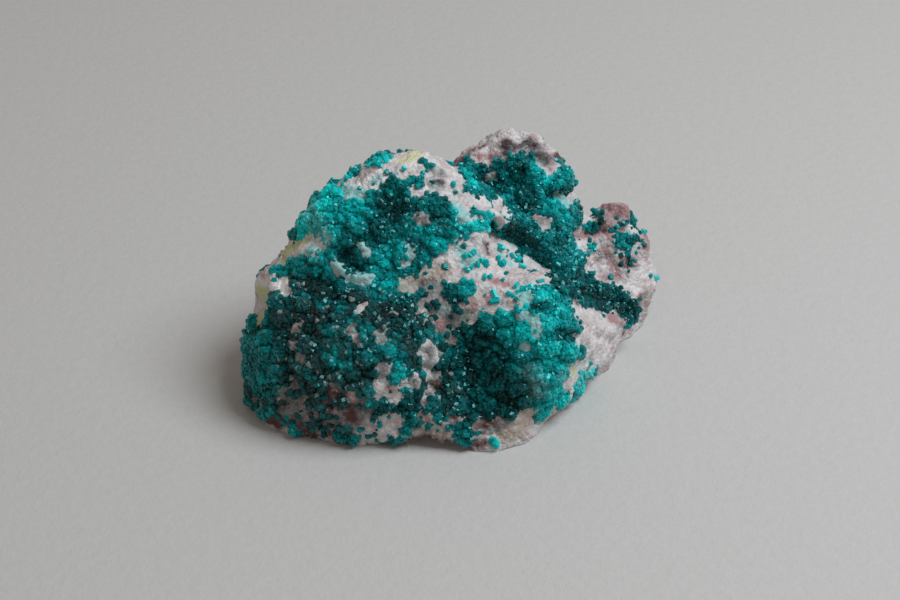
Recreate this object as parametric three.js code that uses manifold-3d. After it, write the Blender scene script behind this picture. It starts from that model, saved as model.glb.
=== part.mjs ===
import * as THREE from 'three';
import { ConvexGeometry } from 'three/addons/geometries/ConvexGeometry.js';
import { ImprovedNoise } from 'three/addons/math/ImprovedNoise.js';
import { mergeVertices } from 'three/addons/utils/BufferGeometryUtils.js';
import Module from 'manifold-3d';

// A hand specimen of dioptase: a lump of pale calcite rock that stands on its flat underside, and the
// crusts of small green crystals that grow on it, each crust a solid of its own just clear of the rock.
// Millimetres. +X is the long side, -Y the front that carries most of the crystals, +Z up. The origin is
// the middle of the underside's box.

const wasm = await Module();
wasm.setup();

// ---------------------------------------------------------------------------------------------------
// Driving dimensions of the rock
// ---------------------------------------------------------------------------------------------------

const FLAT = 3.75; // about the side of one small flat of the broken rock
const SEED = 5;
const SLIVER = 0.01; // edges shorter than this are closed up after cuts and joins
const FOLD = 6; // width of the soft fold where two masses meet
const DENT_FOLD = 3;
const BREAK_FOLD = 1.5;
const ROUGH = { height: 1.1, lumps: 9 }; // unevenness of the skin, and how far apart its lumps are

// The masses that the rock is made of: half sizes along X, Y and Z, turned about Z. A small fold leaves
// a sharp crease where the mass meets the ones before it.
const MASSES = [
  { name: 'body', at: [-11, 1, 5], size: [23, 20, 20.5] },
  { name: 'crown', at: [-10, 6, 21], size: [12, 12, 19] },
  { name: 'crown left', at: [-17.5, 3, 16.5], size: [10.5, 12, 17.5] },
  { name: 'crown right', at: [-3, 8, 24], size: [7, 9, 15] },
  { name: 'left flank', at: [-23, -5, 8], size: [11, 12, 13.5] },
  { name: 'left knuckle', at: [-30, 1, 17.5], size: [3.3, 4, 4.5] },
  { name: 'left foot', at: [-23, -9, -1], size: [10.5, 9, 9] },
  { name: 'saddle', at: [2, 5, 23], size: [10, 9, 11] },
  { name: 'back ridge', at: [12.5, 21, 20], size: [11.5, 6.5, 17.5] },
  { name: 'ridge left', at: [5, 20, 18], size: [6, 6, 16] },
  { name: 'ridge slope', at: [15, 12, 12], size: [8.5, 9, 15] },
  { name: 'ridge wall', at: [17, 5, 11], size: [7, 5, 12], turn: -40 },
  { name: 'back filling', at: [-2, 14, 9], size: [20, 12, 16] },
  { name: 'notch floor', at: [23, 19, 8], size: [6, 7, 9] },
  { name: 'right block', at: [29.5, 14, 4.5], size: [7.5, 9.5, 7.5], fold: 3 },
  { name: 'block corner', at: [32, 19.5, 8], size: [6, 6.5, 8.5], fold: 3 },
  { name: 'knob', at: [29.5, 21, 16], size: [4, 4, 7], fold: 3 },
  { name: 'calcite foot', at: [21, 3, 3], size: [8, 10, 10] },
  { name: 'front belly', at: [-13, -10, 5.5], size: [17, 12, 19], fold: 3 },
  { name: 'shelf', at: [5, -4, 16], size: [14, 9, 10], fold: 3 },
  { name: 'front lobe', at: [15, -7, 10.5], size: [9.5, 11, 14], fold: 3 },
  { name: 'lobe foot', at: [5, -13.5, 0], size: [11, 10.5, 10], fold: 3 },
];

// Soft dents in the skin, given in the same way.
const DENTS = [
  { name: 'lobe hollow', at: [5.5, -24, 14], size: [4.5, 7, 9] },
  { name: 'crevice bed', at: [14, -1, 29], size: [9, 2.5, 6], turn: -32 },
  { name: 'ridge pocket', at: [8, 12, 37], size: [3.5, 4, 3] },
  { name: 'lobe side', at: [27, -14, 9], size: [5, 7, 9] },
];

// Broken faces: nothing of the rock lies beyond them.
const BREAKS = [
  { name: 'back face', at: [0, 25.5, 15], facing: [-0.15, 1, 0.12] },
  { name: 'back of the crown', at: [-12, 19.5, 29], facing: [-0.45, 0.75, 0.5] },
  { name: 'back left corner', at: [-28, 16, 8], facing: [-0.65, 0.85, 0.05] },
  { name: 'back right corner', at: [31, 25, 10], facing: [0.12, 1, -0.15] },
];

// Sharp cuts: rough balls, stretched to half sizes, dipped about Y and then turned about Z.
const CUTS = [
  { name: 'arch under the front', at: [-4, -25, -0.5], size: [9, 7, 2.3] },
  { name: 'crevice', at: [15, 0, 26], size: [11, 1.7, 6], dip: 38, turn: -24 },
];
const CUT_ROUGH = { height: 0.6, lumps: 3 };

const ROOM = { low: [-44, -34, -20], high: [44, 38, 50] }; // holds the masses with space to spare
const FLOOR = { side: 200, depth: 60 }; // what is taken away below the flat underside

// ---------------------------------------------------------------------------------------------------
// Driving dimensions of the crusts
// ---------------------------------------------------------------------------------------------------

const CRUST = {
  gap: 0.3, // clear of the rock
  thickness: [0.7, 1.5],
  rim: 0.5, // thickness along the edge
  lowest: 1.2, // a crust starts this far above the underside
  spiked: 0.7, // share of its flats that rise to a point
  spike: [0.3, 1.1],
  stray: 0.6, // how far a point may stray towards a corner of its flat
};

// The larger crystals of a crust: six-sided, closed by three slanting faces.
const CRYSTAL = {
  radius: [0.9, 1.4],
  height: [0.2, 0.9],
  root: 0.6, // how deep one stands in the crust
  clear: 0.15, // the least crust left under a root
  lean: 0.45,
  tipSlope: 0.8,
};

// A crust grows where the skin is inside one of its covers and outside its bare spots. Each cover or bare
// spot is a ball: the three coordinates of its middle, and its radius.
const CRUSTS = [
  {
    name: 'main_crust',
    covers: [
      // dome
      [-6, -3, 33, 8], [-14, -3, 33, 7], [-21, -1, 33, 6], [-8, -7, 29, 6], [-24, -6, 26, 6],
      [-18, -11, 25, 5.5], [-10, -12, 25, 5.5], [-2, -16, 17, 4],
      // front, from the left flank to the foot of the lobe
      [-28, -10, 20, 8], [-31, -12, 13, 9], [-20, -17, 18, 9], [-25, -18, 8, 9], [-10, -16, 19, 8],
      [-14, -20, 9, 9], [-2, -19, 12, 7], [0, -20, 6, 6],
      // hollow and front lobe
      [7, -16, 13, 8], [4, -14, 19, 4], [17, -17, 17, 8], [15, -13, 23, 5], [19, -17, 9, 6], [21, -11, 19, 6],
      [2.5, -10, 24, 3],
    ],
    bare: [
      // thin ledge between dome and front
      [-18, -7.5, 27, 1.5], [-14.5, -8.5, 26.5, 1.5], [-11, -9.5, 25.5, 1.5],
      // lumps of rock that stand out of the front, and its foot
      [-4, -17, 15, 2.5], [-10, -19, 11, 2.5], [-12, -21, 5, 2.5], [-29, -20, 3, 3], [6, -21, 2, 3],
    ],
    crystals: 40,
  },
  {
    name: 'ridge_crust',
    covers: [
      [14, 15, 31, 6], [20, 17, 29, 5], [9, 13, 32, 5], [17, 11, 27, 6], [16, 5, 25, 4], [21, 6, 20, 5],
      // dark band that runs on down the edge of the right block
      [24, 4.5, 15.5, 3.5], [27, 6, 12.5, 3.5], [30, 7.5, 10, 3.5], [33, 9.5, 7.5, 3.5],
    ],
    bare: [[14, 8, 28, 2]],
    crystals: 16,
  },
  { name: 'knob_crust', covers: [[27, 19, 21, 3]], crystals: 1 },
  { name: 'block_patch', covers: [[32.5, 16, 16, 4]], crystals: 1 },
  { name: 'shoulder_patch', covers: [[4, -1, 32, 4.5], [7, 1, 31, 4]], crystals: 2 },
  { name: 'top_patch', covers: [[-12, 6, 42, 5.5]], crystals: 2 },
  { name: 'saddle_patch', covers: [[-3, 4, 40, 4]], crystals: 1 },
  { name: 'foot_patch', covers: [[25, -6, 4, 3.5]], crystals: 1 },
  { name: 'back_patch', covers: [[-14, 21, 22, 6], [-8, 24, 16, 4]], crystals: 3 },
];

const ROCK_LOOK = { color: 0xb9b0b0, roughness: 0.85, metalness: 0 };
const DIOPTASE_LOOK = { color: 0x00756d, roughness: 0.3, metalness: 0 };

// ---------------------------------------------------------------------------------------------------
// Small helpers
// ---------------------------------------------------------------------------------------------------

// Repeatable random numbers from 0 to 1.
function seededRandom(seed) {
  let state = seed;
  return () => {
    state = (state + 0x6d2b79f5) | 0;
    let t = Math.imul(state ^ (state >>> 15), 1 | state);
    t = (t + Math.imul(t ^ (t >>> 7), 61 | t)) ^ t;
    return ((t ^ (t >>> 14)) >>> 0) / 2 ** 32;
  };
}

const between = (random, [low, high]) => low + (high - low) * random();

const vector = (values) => new THREE.Vector3(...values);

const radians = THREE.MathUtils.degToRad;

const noise = new ImprovedNoise();
const OCTAVES = 3;
const OCTAVE_SHIFT = 7.3; // keeps the octaves' zeros apart

// Noise, about -1 to 1, whose largest lumps have the given size.
function roughness(p, lumps) {
  let sum = 0;
  for (let octave = 0; octave < OCTAVES; octave++) {
    const scale = 2 ** octave / lumps;
    sum += noise.noise(p.x * scale + OCTAVE_SHIFT * octave, p.y * scale, p.z * scale) / 2 ** octave;
  }
  return sum;
}

function toSolid(geometry) {
  const bare = geometry.clone();
  bare.deleteAttribute('normal');
  bare.deleteAttribute('uv');
  const merged = mergeVertices(bare, 1e-4);
  return new wasm.Manifold(new wasm.Mesh({
    numProp: 3,
    vertProperties: new Float32Array(merged.attributes.position.array),
    triVerts: new Uint32Array(merged.index.array),
  }));
}

function toGeometry(solid) {
  const mesh = solid.getMesh();
  const geometry = new THREE.BufferGeometry();
  geometry.setAttribute('position', new THREE.BufferAttribute(mesh.vertProperties, 3));
  geometry.setIndex(new THREE.BufferAttribute(mesh.triVerts, 1));
  geometry.computeVertexNormals();
  return geometry;
}

// ---------------------------------------------------------------------------------------------------
// The form of the rock, as a field of distances: below zero inside, above zero outside
// ---------------------------------------------------------------------------------------------------

function distanceToMass(p, { at, size, turn = 0 }) {
  const local = p.clone().sub(vector(at));
  const a = radians(-turn);
  const x = (local.x * Math.cos(a) - local.y * Math.sin(a)) / size[0];
  const y = (local.x * Math.sin(a) + local.y * Math.cos(a)) / size[1];
  const z = local.z / size[2];
  const scaled = Math.hypot(x, y, z);
  const slope = Math.hypot(x / size[0], y / size[1], z / size[2]) || 1;
  return scaled * (scaled - 1) / slope;
}

function softMinimum(a, b, width) {
  const near = Math.max(width - Math.abs(a - b), 0) / width;
  return Math.min(a, b) - near * near * width / 4;
}

const softMaximum = (a, b, width) => -softMinimum(-a, -b, width);

function distanceToRock(p) {
  let d = Infinity;
  for (const mass of MASSES) d = softMinimum(d, distanceToMass(p, mass), mass.fold ?? FOLD);
  for (const dent of DENTS) d = softMaximum(d, -distanceToMass(p, dent), DENT_FOLD);
  for (const { at, facing } of BREAKS)
    d = softMaximum(d, p.clone().sub(vector(at)).dot(vector(facing).normalize()), BREAK_FOLD);
  return d + ROUGH.height * roughness(p, ROUGH.lumps);
}

// ---------------------------------------------------------------------------------------------------
// A closed net over the skin of a field
// ---------------------------------------------------------------------------------------------------

const RELAX = { rounds: 3, share: 0.6 };

// One knot lies in each cell of a grid that the skin passes through, and one four-sided mesh lies round
// each edge of the grid that the skin crosses.
function netSkin(field, { low, high }, cell) {
  const count = low.map((v, axis) => Math.ceil((high[axis] - v) / cell) + 1);
  const place = (i, j, k) => vector([i, j, k]).multiplyScalar(cell).add(vector(low));
  const index = (i, j, k) => (k * count[1] + j) * count[0] + i;
  const each = (first, visit) => {
    for (let k = first; k + 1 < count[2]; k++)
      for (let j = first; j + 1 < count[1]; j++)
        for (let i = first; i + 1 < count[0]; i++) visit(i, j, k);
  };
  const values = new Map();
  const valueAt = (i, j, k) => {
    const key = index(i, j, k);
    if (!values.has(key)) values.set(key, field(place(i, j, k)));
    return values.get(key);
  };

  const corners = Array.from({ length: 8 }, (_, c) => [c & 1, (c >> 1) & 1, c >> 2]);
  const knots = [];
  const knotOfCell = new Map();
  each(0, (i, j, k) => {
    const at = corners.map(([x, y, z]) => valueAt(i + x, j + y, k + z));
    const crossings = [];
    for (let a = 0; a < 8; a++)
      for (const bit of [1, 2, 4]) {
        const b = a | bit;
        if (a === b || (at[a] < 0) === (at[b] < 0)) continue;
        crossings.push(vector(corners[a]).lerp(vector(corners[b]), at[a] / (at[a] - at[b])));
      }
    if (!crossings.length) return;
    knotOfCell.set(index(i, j, k), knots.length);
    knots.push(middleOf(crossings).multiplyScalar(cell).add(place(i, j, k)));
  });

  const faces = [];
  const steps = [[1, 0, 0], [0, 1, 0], [0, 0, 1]];
  each(1, (i, j, k) => steps.forEach((step, axis) => {
    const inside = valueAt(i, j, k) < 0;
    if (inside === valueAt(i + step[0], j + step[1], k + step[2]) < 0) return;
    const u = steps[(axis + 1) % 3], v = steps[(axis + 2) % 3];
    const ring = [[0, 0], [1, 0], [1, 1], [0, 1]].map(([a, b]) => knotOfCell.get(index(
      i - a * u[0] - b * v[0], j - a * u[1] - b * v[1], k - a * u[2] - b * v[2])));
    if (!inside) ring.reverse();
    faces.push([ring[0], ring[1], ring[2]], [ring[0], ring[2], ring[3]]);
  }));

  for (let round = 0; round < RELAX.rounds; round++) relax(knots, faces, field);
  return { knots, faces };
}

// Evens out a net: each knot moves towards the middle of its neighbours, and back onto the skin.
function relax(knots, faces, field) {
  const neighbours = knots.map(() => []);
  for (const [from, to] of faces.flatMap(edgesOf)) neighbours[from].push(knots[to].clone());
  knots.forEach((knot, i) => {
    knot.lerp(middleOf(neighbours[i]), RELAX.share);
    const slope = slopeOf(field, knot);
    knot.addScaledVector(slope, -field(knot) / slope.lengthSq());
  });
}

function slopeOf(field, p) {
  const reach = 0.2;
  const along = (axis) => {
    const step = vector(axis).multiplyScalar(reach);
    return (field(p.clone().add(step)) - field(p.clone().sub(step))) / (2 * reach);
  };
  return vector([along([1, 0, 0]), along([0, 1, 0]), along([0, 0, 1])]);
}

const middleOf = (points) =>
  points.reduce((sum, p) => sum.add(p), new THREE.Vector3()).divideScalar(points.length);

const edgesOf = (face) => face.map((knot, i) => [knot, face[(i + 1) % 3]]);

function netGeometry(knots, faces) {
  const geometry = new THREE.BufferGeometry().setFromPoints(knots);
  geometry.setIndex(faces.flat());
  return geometry;
}

// The outward direction at each knot of a net.
function normalsOf({ knots, faces }) {
  const geometry = netGeometry(knots, faces);
  geometry.computeVertexNormals();
  return knots.map((_, i) => new THREE.Vector3().fromBufferAttribute(geometry.attributes.normal, i));
}

// ---------------------------------------------------------------------------------------------------
// The rock
// ---------------------------------------------------------------------------------------------------

function cutter({ at, size, dip = 0, turn = 0 }) {
  const ball = new THREE.IcosahedronGeometry(1, 3);
  ball.scale(...size);
  const { position } = ball.attributes;
  for (let i = 0; i < position.count; i++) {
    const p = new THREE.Vector3().fromBufferAttribute(position, i);
    p.addScaledVector(p.clone().normalize(), CUT_ROUGH.height * roughness(p, CUT_ROUGH.lumps));
    position.setXYZ(i, ...p);
  }
  ball.rotateY(radians(dip)).rotateZ(radians(turn)).translate(...at);
  return toSolid(ball);
}

function makeMatrix(skin) {
  const below = new THREE.BoxGeometry(FLOOR.side, FLOOR.side, FLOOR.depth);
  below.translate(0, 0, -FLOOR.depth / 2);
  const standing = toSolid(netGeometry(skin.knots, skin.faces)).subtract(toSolid(below));
  return CUTS.reduce((rock, cut) => rock.subtract(cutter(cut)), standing).simplify(SLIVER);
}

// ---------------------------------------------------------------------------------------------------
// The crusts
// ---------------------------------------------------------------------------------------------------

function rimOf(faces) {
  const edges = faces.flatMap(edgesOf);
  const all = new Set(edges.map(String));
  return edges.filter(([from, to]) => !all.has(String([to, from])));
}

// The largest group of faces that hang together across their edges.
function largestGroup(faces) {
  const faceAt = new Map();
  faces.forEach((face, i) => edgesOf(face).forEach((edge) => faceAt.set(String(edge), i)));
  const seen = new Set();
  let largest = [];
  faces.forEach((_, start) => {
    if (seen.has(start)) return;
    const group = [start];
    seen.add(start);
    for (const i of group)
      for (const [from, to] of edgesOf(faces[i])) {
        const next = faceAt.get(String([to, from]));
        if (next === undefined || seen.has(next)) continue;
        seen.add(next);
        group.push(next);
      }
    if (group.length > largest.length) largest = group;
  });
  return largest.map((i) => faces[i]);
}

// Leaves out the faces at a knot that the rim passes twice, so that the rim never touches itself.
function withoutPinches(faces) {
  const starts = rimOf(faces).map(([from]) => from);
  const pinched = new Set(starts.filter((knot, i) => starts.indexOf(knot) !== i));
  if (!pinched.size) return faces;
  return withoutPinches(largestGroup(faces.filter((face) => !face.some((knot) => pinched.has(knot)))));
}

const inBalls = (p, balls) => balls.some(([x, y, z, r]) => p.distanceTo(vector([x, y, z])) < r);

function crustFaces(skin, { covers, bare = [] }, taken) {
  const covered = skin.faces.filter((face) => {
    if (face.some((knot) => taken.has(knot) || skin.knots[knot].z < CRUST.lowest)) return false;
    const middle = middleOf(face.map((knot) => skin.knots[knot]));
    return inBalls(middle, covers) && !inBalls(middle, bare);
  });
  return withoutPinches(largestGroup(covered));
}

const raisedKnot = ({ knots, normals }, knot, height) =>
  knots[knot].clone().addScaledVector(normals[knot], height);

// Faces of the skin grown to a crust: flats and points outside, the rock's own form inside.
function thicken(skin, faces, random) {
  const rim = rimOf(faces);
  const rimKnots = new Set(rim.flat());
  const points = [];
  const triangles = [];
  const inner = new Map(), outer = new Map();
  for (const knot of new Set(faces.flat())) {
    const thickness = rimKnots.has(knot) ? CRUST.rim : between(random, CRUST.thickness);
    inner.set(knot, points.push(raisedKnot(skin, knot, CRUST.gap)) - 1);
    outer.set(knot, points.push(raisedKnot(skin, knot, CRUST.gap + thickness)) - 1);
  }

  const flats = [];
  for (const face of faces) {
    const [a, b, c] = face.map((knot) => outer.get(knot));
    const flat = new THREE.Triangle(points[a], points[b], points[c]);
    const normal = flat.getNormal(new THREE.Vector3());
    const middle = flat.getMidpoint(new THREE.Vector3());
    flats.push({ middle, normal });
    triangles.push(face.map((knot) => inner.get(knot)).reverse());
    if (random() > CRUST.spiked) {
      triangles.push([a, b, c]);
      continue;
    }
    const corner = points[[a, b, c][Math.floor(3 * random())]];
    const point = middle.clone().lerp(corner, CRUST.stray * random());
    const tip = points.push(point.addScaledVector(normal, between(random, CRUST.spike))) - 1;
    triangles.push([a, b, tip], [b, c, tip], [c, a, tip]);
  }
  for (const [from, to] of rim) {
    const [a, b, c, d] = [inner.get(from), inner.get(to), outer.get(to), outer.get(from)];
    triangles.push([a, b, c], [a, c, d]);
  }
  return { solid: toSolid(netGeometry(points, triangles)), flats };
}

// A six-sided prism on Z = 0, closed by three slanting faces.
function crystalGeometry(radius, height) {
  const rise = CRYSTAL.tipSlope * radius;
  const points = [vector([0, 0, height + rise])];
  for (let side = 0; side < 6; side++) {
    const x = radius * Math.cos(side * Math.PI / 3), y = radius * Math.sin(side * Math.PI / 3);
    points.push(vector([x, y, 0]), vector([x, y, side % 2 ? height + rise / 2 : height]));
  }
  return new ConvexGeometry(points);
}

// A crystal that stands on a flat of the crust, cut off above the ground that its root would reach into.
function plantCrystal({ middle, normal }, ground, random) {
  const lean = () => CRYSTAL.lean * (2 * random() - 1);
  const axis = normal.clone().add(vector([lean(), lean(), lean()])).normalize();
  const height = CRYSTAL.root + between(random, CRYSTAL.height);
  const crystal = crystalGeometry(between(random, CRYSTAL.radius), height);
  crystal.rotateZ(random() * Math.PI);
  crystal.applyQuaternion(new THREE.Quaternion().setFromUnitVectors(vector([0, 0, 1]), axis));
  crystal.translate(...middle.clone().addScaledVector(normal, -CRYSTAL.root));
  return toSolid(crystal).subtract(ground);
}

function makeCrust(skin, ground, faces, crystals, random) {
  const { solid, flats } = thicken(skin, faces, random);
  const spacing = flats.length / crystals;
  let crust = solid;
  for (let i = 0; i < crystals; i++)
    crust = crust.add(plantCrystal(flats[Math.floor((i + random()) * spacing)], ground, random));
  return withoutHollows(crust).simplify(SLIVER);
}

// The outer shell alone, so that a pocket closed in between crystals is filled.
function withoutHollows(solid) {
  return solid.decompose().reduce((a, b) => (b.volume() > a.volume() ? b : a));
}

// ---------------------------------------------------------------------------------------------------
// The specimen
// ---------------------------------------------------------------------------------------------------

function addPiece(group, name, solid, look) {
  const piece = new THREE.Mesh(toGeometry(solid), new THREE.MeshStandardMaterial(look));
  piece.name = name;
  group.add(piece);
}

function makeSpecimen() {
  const specimen = new THREE.Group();
  const skin = netSkin(distanceToRock, ROOM, FLAT);
  skin.normals = normalsOf(skin);
  addPiece(specimen, 'matrix', makeMatrix(skin), ROCK_LOOK);
  const raised = skin.knots.map((_, knot) => raisedKnot(skin, knot, CRUST.gap + CRYSTAL.clear));
  const ground = toSolid(netGeometry(raised, skin.faces));
  const taken = new Set();
  CRUSTS.forEach((crust, number) => {
    const faces = crustFaces(skin, crust, taken);
    faces.flat().forEach((knot) => taken.add(knot));
    const solid = makeCrust(skin, ground, faces, crust.crystals, seededRandom(SEED + number));
    addPiece(specimen, crust.name, solid, DIOPTASE_LOOK);
  });

  const middle = new THREE.Box3().setFromObject(specimen).getCenter(new THREE.Vector3());
  for (const piece of specimen.children) piece.position.set(-middle.x, -middle.y, 0);
  return specimen;
}

export default makeSpecimen();
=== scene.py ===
"""The looks of a dioptase specimen: broken, grainy rock, stained in places, and thousands of small
blue-green crystals grown together to crusts on it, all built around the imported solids."""

import math
import random

import bpy
import numpy as np
from mathutils import Matrix, Vector, noise
from mathutils.bvhtree import BVHTree
from mathutils.kdtree import KDTree


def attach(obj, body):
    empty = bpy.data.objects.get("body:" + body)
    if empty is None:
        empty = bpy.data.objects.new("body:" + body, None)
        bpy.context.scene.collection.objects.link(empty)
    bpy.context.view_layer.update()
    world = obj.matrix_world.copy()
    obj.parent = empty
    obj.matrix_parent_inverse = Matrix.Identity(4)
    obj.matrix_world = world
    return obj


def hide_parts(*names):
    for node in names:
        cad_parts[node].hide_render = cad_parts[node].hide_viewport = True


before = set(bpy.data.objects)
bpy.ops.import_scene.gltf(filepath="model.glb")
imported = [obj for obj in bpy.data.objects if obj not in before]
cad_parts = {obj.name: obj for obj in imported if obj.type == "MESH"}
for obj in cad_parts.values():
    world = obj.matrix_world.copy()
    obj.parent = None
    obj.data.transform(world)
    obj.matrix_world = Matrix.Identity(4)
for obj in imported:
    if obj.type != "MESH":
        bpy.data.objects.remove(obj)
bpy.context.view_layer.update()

# ---- Sizes, in millimetres where nothing else is said ----

MM = 0.001

# The camera looks along +Y and down. Its picture is 900 x 600 points.
VIEW = {"wide": 900, "high": 600, "lens": 85, "sensor": 36, "down": 34, "distance": 370}
AIM = (-0.6, -1.4, 15.5)
# A point of the picture that shows no ground is moved towards its middle, by this share at a time.
NEARER = {"steps": 25, "share": 0.01}
BALL_GAP = 4  # points of the picture from one ball of a line to the next

ROCK = {
    "cell": 0.42,  # size of one face of the fine rock
    "smooth_rounds": 6,
    "foot": 0.3,  # what lies below this is the flat underside, and stays as it is
    "foot_fade": 1.5,
    "bed_edge": 0.3,  # the bed sets in from so far outside an edge to so far inside
    "bed_rise": 0.5,  # how much the ground under the crystals stands out
    "spot_rise": 0.6,  # how much a pale lump in the crystals stands out
    "relief_edge": 0.8,  # relief is whole where a place lies this share of the radius inside its line
    "calcite_edge": (-1.5, 1),  # smooth calcite sets in between these depths
    "calcite_smooth": 0.8,  # the share of the grains that it lacks
}
# height and size of the rock's own lumps, from the large to the fine
ROCK_LUMPS = ((0.4, 4.5), (0.25, 1.9))
# height and size of its angular grains
ROCK_GRAINS = ((0.5, 2.1), (0.38, 0.95))
# how far the grains' faces tilt, how round and how unlike in shade they are, and what picks each one's tilt
GRAIN = {"tilt": 1.6, "round": 0.5, "shade": 0.5, "key": 37}
# the crystals' bed rises to clumps, with clefts between them, where the crystals get painted shade
CLUMPS = {"size": 3.4, "height": 0.8, "level": 0.7, "cleft": 0.32, "shade": 0.18}

COVER = {
    "grid": 3,  # the front is looked at every few points of the picture
    "lift": 0.5,  # as seen from the camera, the ground lies this much nearer
    "deepest": 1.5,  # deeper than this inside an outline, it is all the same
    "reach": 1.1,  # on the hidden sides the crystals reach this far from a crust's own solid
    "ragged": 1.2,  # how ragged they are there, and their small patches far from any crust
    "patch": 5.0,
    "patch_size": 4.5,
    "patches_above": 0.42,
    "hidden": (1.2, 3.0),  # so far from all that the camera sees, its outlines fade out
    "wander": 0.45,  # how far the edges wander
    "wander_hidden": 1.9,  # how many times that on the hidden sides, and how much less on the front
    "wander_calmer": 1.3,
    "lumps": (2.4, 1.1),
    "sprinkle": 1.4,  # size of the spots where green and bare ground are mixed
    "room": 0.16,  # roots keep this much inside the outlines, and so much more from a pale lump
    "spot_room": 0.2,
    "spot_edge": (0.3, 1.1),  # a pale lump falls off between these distances from what its outline shows
}

CRYSTAL = {
    "radius": (0.25, 0.63),
    "length": (0.45, 1.35),  # times the radius, above the bed
    "root": 0.6,
    "lean": 0.85,
    "tip": 0.75,
    "spacing": 0.38,  # times the sum of two radii
    "tries": 80000,
    "lowest": 0.9,  # none grows below this height
    "far": 2.5,  # farther than this from every crust's solid, a crystal counts as scattered
    "edge": 0.35,  # how fast the crystals thin out beyond an edge
    "edge_share": 0.06,
    # the pale and the frosty crystals are partly painted glints
    "speckles_and_glints": 0.05,  # share of pale crystals where it is speckled
    "line_edge": (-1, 1),  # fine, speckled and frosty stretches set in between these depths
}
# where they are between the least and the largest radius, and how that drifts over the ground
CRYSTAL_SIZES = {"usual": 0.5, "drift": 0.5, "drift_size": 5.0, "fine": 0.45, "own": 0.4}
LONE_CRYSTAL = {"radius": (0.31, 0.55), "length": (1.3, 2.8), "lean": 1.4, "tone": (0.72, 0.98)}

# how light the crystals are, from 0 to 1, how that drifts, and how much each differs from its neighbours
TONE = {"usual": 0.58, "drift": 0.14, "drift_size": 3.5, "own": 0.14}
# how frosty they are, and the pale ones among the dark, both partly painted glints
DUST_AND_GLINTS = {"frost_and_glints": 0.3, "speckle_and_glint": 0.8}
# how soiled they are, with painted shade in places, between what depths that sets in, and in what blots
SOILED_AND_SHADED = {"dulling": 0.75, "edge": (-2, 1), "blots": 1.8, "blot_edge": (-0.5, 0.5)}
# green dust washed onto the bare rock: how near the crystals, and in what blots
WASH = {"near": (-1.2, -0.1), "blots": 1.6, "blot_edge": (-0.2, 0.6)}
# stains set in between these depths; on the hidden sides they fade out, and have finer blots on them
STAIN = {"edge": (-0.9, 0.5), "fade": 0.5, "fine_share": 0.6, "finer": 3}

# Each kind of noise has a shift of its own, so that no two run alike.
NOISE_STEP = (11.3, 5.7, 3.1)
NOISE = {
    "edges": 1,
    "rock": 5,
    "sprinkle": 9,
    "patches": 12,
    "ragged": 13,
    "tone": 21,
    "size": 22,
    "soil": 23,
    "wash": 31,
    "stains": 40,
    "fine stains": 50,
}
# what the random draws start from
DRAWS = {"places": 3, "crystals": 7, "lone crystals": 17}

FLOOR_SIDE = 6000
SKY = {"colour": (1.0, 0.885, 0.80, 1), "strength": 0.31}
WINDOW = {"place": (330, -40, 540), "size": 380, "power": 3.3, "colour": (0.93, 0.985, 1.02)}


# ---- Outlines on the front, in points of the camera's picture ----
# All of the front is green but for the bare ground, the patches lie on that, and bare spots on both.

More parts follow.
